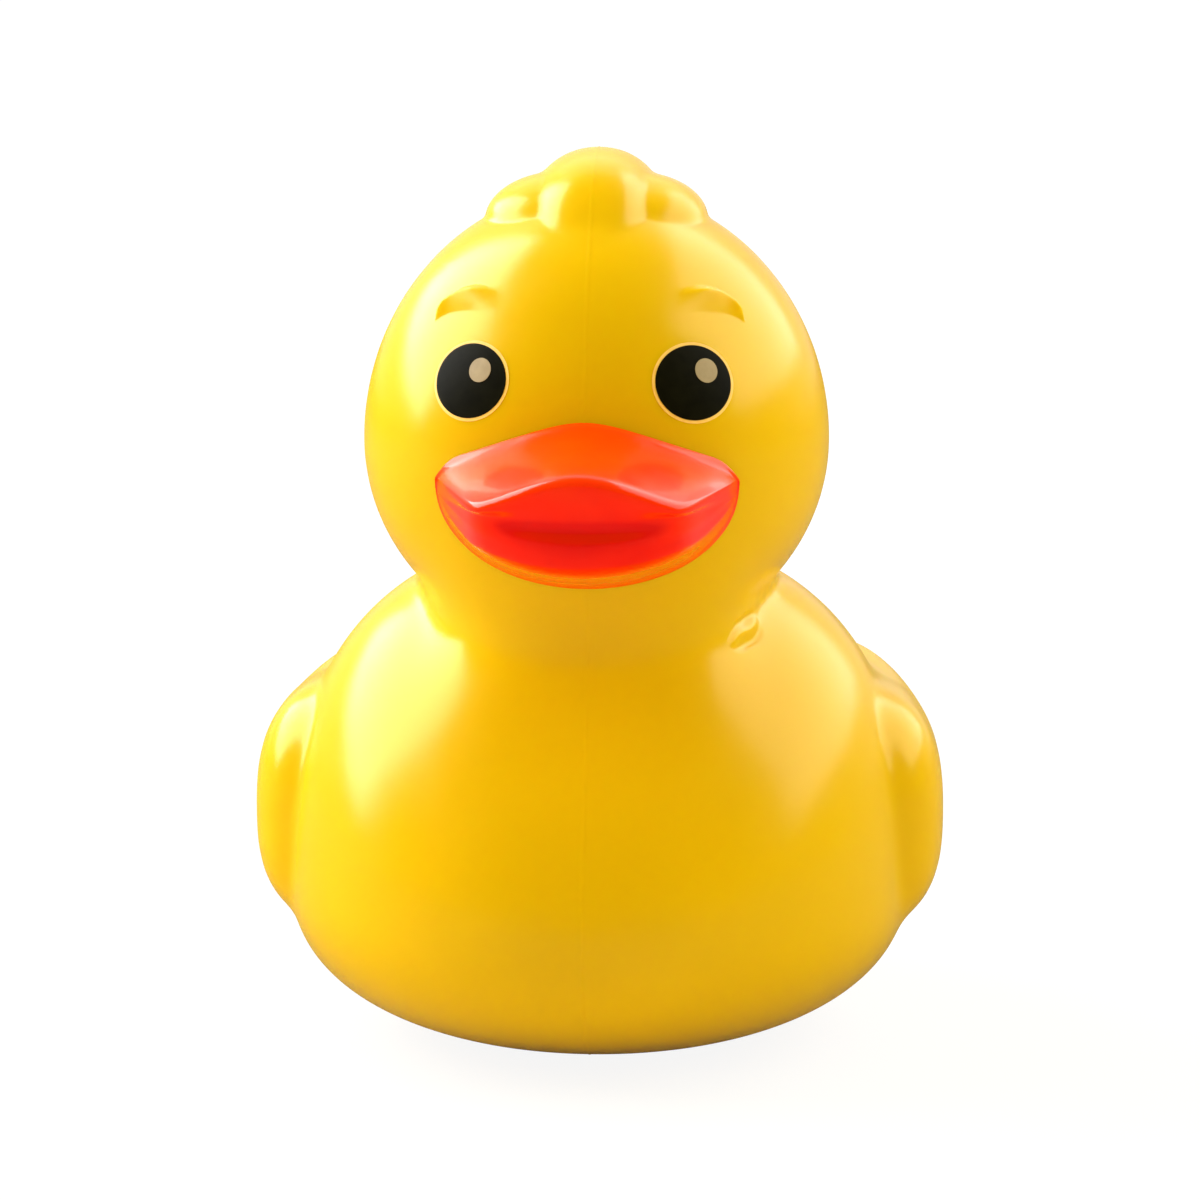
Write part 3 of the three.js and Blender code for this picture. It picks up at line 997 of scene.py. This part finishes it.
# %% Orange paint
# The paler orange holds thin paint and painted light, and the deep red holds painted shade.
THIN_AND_LIT_ORANGE = (0.96, 0.09, 0.0)
ORANGE = (0.96, 0.042, 0.0)
ORANGE_RED = (0.94, 0.014, 0.0)
SHADED_DEEP_RED = (0.74, 0.0, 0.0)
PAINT_SMOOTHEST = 0.16
PAINT_DULLEST = 0.24
UNEVENNESS = 0.16

paint, nodes, links, shader = new_finish("orange_paint")
# The red that the sheet's points carry, painted light and shade included, picks the paint's colour.
depth = nodes.new("ShaderNodeAttribute")
depth.attribute_name = "painted_shade_and_red"
uneven = nodes.new("ShaderNodeMath")
uneven.operation = "MULTIPLY_ADD"
links.new(noise_on(nodes, links, scale=260, detail=3), uneven.inputs[0])
uneven.inputs[1].default_value = UNEVENNESS
links.new(depth.outputs["Fac"], uneven.inputs[2])
tone = ramp_on(nodes, links, uneven.outputs[0], [
    (0.06, THIN_AND_LIT_ORANGE), (0.48, ORANGE), (0.72, ORANGE_RED), (1.0, SHADED_DEEP_RED),
])
links.new(tone, shader.inputs["Base Color"])
fine_grain = noise_on(nodes, links, scale=400, detail=4)
gloss = ramp_on(nodes, links, fine_grain, [
    (NOISE_LOW, grey(PAINT_SMOOTHEST)), (NOISE_HIGH, grey(PAINT_DULLEST)),
])
links.new(gloss, shader.inputs["Roughness"])
waves = bump_on(nodes, links, noise_on(nodes, links, scale=180), strength=0.06, distance=0.3 * MM)
links.new(waves, shader.inputs["Normal"])
shader.inputs["Specular IOR Level"].default_value = 0.12
shader.inputs["Coat Weight"].default_value = 0.36
shader.inputs["Coat Roughness"].default_value = 0.07
bill.data.materials.clear()
bill.data.materials.append(paint)
print("finish:", paint.name)

# %% [markdown]
# The inks are thin and duller than the vinyl. They differ only in colour and gloss, so one rule makes all
# three, with the fine dots that a print leaves.

# %% Inks
INK_NOISE_LOW = 0.35
INK_NOISE_HIGH = 0.65


def ink(name, light, dark, roughness, specular):
    finish, nodes, links, shader = new_finish(name)
    fine_grain = noise_on(nodes, links, scale=900, detail=3)
    tone = ramp_on(nodes, links, fine_grain, [(INK_NOISE_LOW, dark), (INK_NOISE_HIGH, light)])
    links.new(tone, shader.inputs["Base Color"])
    dots = bump_on(nodes, links, noise_on(nodes, links, scale=1500), strength=0.1, distance=0.05 * MM)
    links.new(dots, shader.inputs["Normal"])
    shader.inputs["Roughness"].default_value = roughness
    shader.inputs["Specular IOR Level"].default_value = specular
    return finish


black_ink = ink(
    "black_ink", light=(0.004, 0.004, 0.002), dark=(0.002, 0.002, 0.001), roughness=0.4, specular=0.06,
)
cream_ink = ink(
    "cream_ink", light=(1.0, 0.66, 0.22), dark=(0.95, 0.58, 0.16), roughness=0.5, specular=0.4,
)
pale_ink = ink(
    "pale_ink", light=(0.4, 0.32, 0.27), dark=(0.35, 0.28, 0.235), roughness=0.5, specular=0.3,
)
for discs, finish in ((eye_blacks, black_ink), (eye_rims, cream_ink), (eye_glints, pale_ink)):
    for disc in discs:
        disc.data.materials.clear()
        disc.data.materials.append(finish)
print("inks:", [finish.name for finish in (black_ink, cream_ink, pale_ink)])

# %% [markdown]
# The floor
#
# A wide pale floor takes the duck's shadow. To be white in the picture it would need a lot of light, and
# the duck would get it too. So what the camera sees of it glows by itself, reflections see it dim, and for
# all other light it is a plain pale sheet.

# %% Floor
FLOOR_SIZE = 12.0
FLOOR_NEAR = 0.15
FLOOR_FAR = 0.8
NEAR_GLOW = 0.9
FAR_GLOW = 1.0
GLOW_IN_REFLECTIONS = 0.06
FLOOR_BOUNCE = (0.74, 0.68, 0.36, 1)
FLOOR_IN_SHADE = (0.1, 0.1, 0.1, 1)

bpy.ops.object.select_all(action="DESELECT")
bpy.ops.mesh.primitive_plane_add(size=FLOOR_SIZE)
floor = bpy.context.object
floor.name = "floor"
sheet, nodes, links, shader = new_finish("floor_sheet")
nodes.remove(shader)
light_path = nodes.new("ShaderNodeLightPath")
looked_at = nodes.new("ShaderNodeMath")
looked_at.operation = "MAXIMUM"
links.new(light_path.outputs["Is Camera Ray"], looked_at.inputs[0])
links.new(light_path.outputs["Is Glossy Ray"], looked_at.inputs[1])
seen = nodes.new("ShaderNodeMath")
seen.operation = "MAXIMUM"
links.new(looked_at.outputs[0], seen.inputs[0])
links.new(light_path.outputs["Is Transmission Ray"], seen.inputs[1])
place = nodes.new("ShaderNodeTexCoord")
distance = nodes.new("ShaderNodeVectorMath")
distance.operation = "LENGTH"
links.new(place.outputs["Object"], distance.inputs[0])
brightness = nodes.new("ShaderNodeMapRange")
brightness.inputs["From Min"].default_value = FLOOR_NEAR
brightness.inputs["From Max"].default_value = FLOOR_FAR
brightness.inputs["To Min"].default_value = NEAR_GLOW
brightness.inputs["To Max"].default_value = FAR_GLOW
links.new(distance.outputs["Value"], brightness.inputs["Value"])
dimming = nodes.new("ShaderNodeMapRange")
dimming.inputs["To Min"].default_value = GLOW_IN_REFLECTIONS
links.new(light_path.outputs["Is Camera Ray"], dimming.inputs["Value"])
strength = nodes.new("ShaderNodeMath")
strength.operation = "MULTIPLY"
links.new(brightness.outputs["Result"], strength.inputs[0])
links.new(dimming.outputs["Result"], strength.inputs[1])
bounced = nodes.new("ShaderNodeBsdfDiffuse")
bounced.inputs["Color"].default_value = FLOOR_BOUNCE
shadowed = nodes.new("ShaderNodeBsdfDiffuse")
shadowed.inputs["Color"].default_value = FLOOR_IN_SHADE
glow = nodes.new("ShaderNodeEmission")
links.new(strength.outputs[0], glow.inputs["Strength"])
shown = nodes.new("ShaderNodeAddShader")
links.new(shadowed.outputs[0], shown.inputs[0])
links.new(glow.outputs[0], shown.inputs[1])
choose = nodes.new("ShaderNodeMixShader")
links.new(seen.outputs[0], choose.inputs[0])
links.new(bounced.outputs[0], choose.inputs[1])
links.new(shown.outputs[0], choose.inputs[2])
links.new(choose.outputs[0], nodes["Material Output"].inputs["Surface"])
floor.data.materials.append(sheet)
print("floor:", FLOOR_SIZE, "m")

# %% [markdown]
# Lamps and air
#
# A wall of soft light stands on the left, a weaker one on the right and a faint one behind, so the sides
# shine and the front keeps its deeper yellow. Large lamps give wide, soft highlights, as the photograph
# shows them.


# %% Lamps
def add_lamp(name, place, width, height, watts, lean=0):
    bpy.ops.object.select_all(action="DESELECT")
    bpy.ops.object.light_add(type="AREA", location=place)
    lamp = bpy.context.object
    lamp.name = name
    lamp.data.shape = "RECTANGLE"
    lamp.data.size = width
    lamp.data.size_y = height
    lamp.data.energy = watts
    facing = (Vector(place) - AIM).to_track_quat("Z", "Y").to_matrix()
    lamp.rotation_euler = (facing @ Matrix.Rotation(lean, 3, "Z")).to_euler()
    return lamp


LEFT_LEAN = math.radians(-25)

lamps = [
    add_lamp("lamp_left", place=(-0.5, 0.14, 0.4), width=0.64, height=0.54, watts=8.6, lean=LEFT_LEAN),
    add_lamp("lamp_right", place=(0.5, 0.16, 0.44), width=0.9, height=0.6, watts=5.2),
    add_lamp("lamp_back", place=(0, 0.5, 0.55), width=0.6, height=0.4, watts=0.5),
]
print("lamps:", [lamp.name for lamp in lamps])

# %% [markdown]
# The air fills what the lamps leave dark. It is neutral behind the duck and warm in front of it, as in a
# room whose front half is darker and has warm walls. Looked at directly it is white, so the picture has a
# white background.

# %% Air
AIR_FRONT = (0.59, 0.495, 0.055, 1)
AIR_BACK = (0.7, 0.7, 0.7, 1)
FRONT_ENDS = 0.6
BACK_STARTS = 0.95
WHITE = (1, 1, 1, 1)

world = bpy.data.worlds.new("air")
bpy.context.scene.world = world
world.use_nodes = True
nodes, links = world.node_tree.nodes, world.node_tree.links
direction = nodes.new("ShaderNodeTexCoord")
parts = nodes.new("ShaderNodeSeparateXYZ")
links.new(direction.outputs["Generated"], parts.inputs["Vector"])
air = nodes.new("ShaderNodeValToRGB")
half_way_back = nodes.new("ShaderNodeMapRange")
half_way_back.inputs["From Min"].default_value = -1
links.new(parts.outputs["Y"], half_way_back.inputs["Value"])
links.new(half_way_back.outputs["Result"], air.inputs["Fac"])
air.color_ramp.elements[0].position = FRONT_ENDS
air.color_ramp.elements[0].color = AIR_FRONT
air.color_ramp.elements[1].position = BACK_STARTS
air.color_ramp.elements[1].color = AIR_BACK
seen_directly = nodes.new("ShaderNodeLightPath")
white_behind = nodes.new("ShaderNodeMix")
white_behind.data_type = "RGBA"
white_behind.inputs["B"].default_value = WHITE
links.new(seen_directly.outputs["Is Camera Ray"], white_behind.inputs["Factor"])
links.new(air.outputs["Color"], white_behind.inputs["A"])
links.new(white_behind.outputs["Result"], nodes["Background"].inputs["Color"])
bpy.context.scene.view_settings.view_transform = "Standard"
print("air:", world.name)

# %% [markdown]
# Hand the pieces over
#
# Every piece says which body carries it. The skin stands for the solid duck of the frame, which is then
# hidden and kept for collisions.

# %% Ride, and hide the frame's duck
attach(skin, "root")
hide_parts("duck")
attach(bill, "root")
for discs, slot in ((eye_blacks, "eye_black"), (eye_rims, "eye_rim"), (eye_glints, "eye_glint")):
    for disc in discs:
        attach(disc, "root")
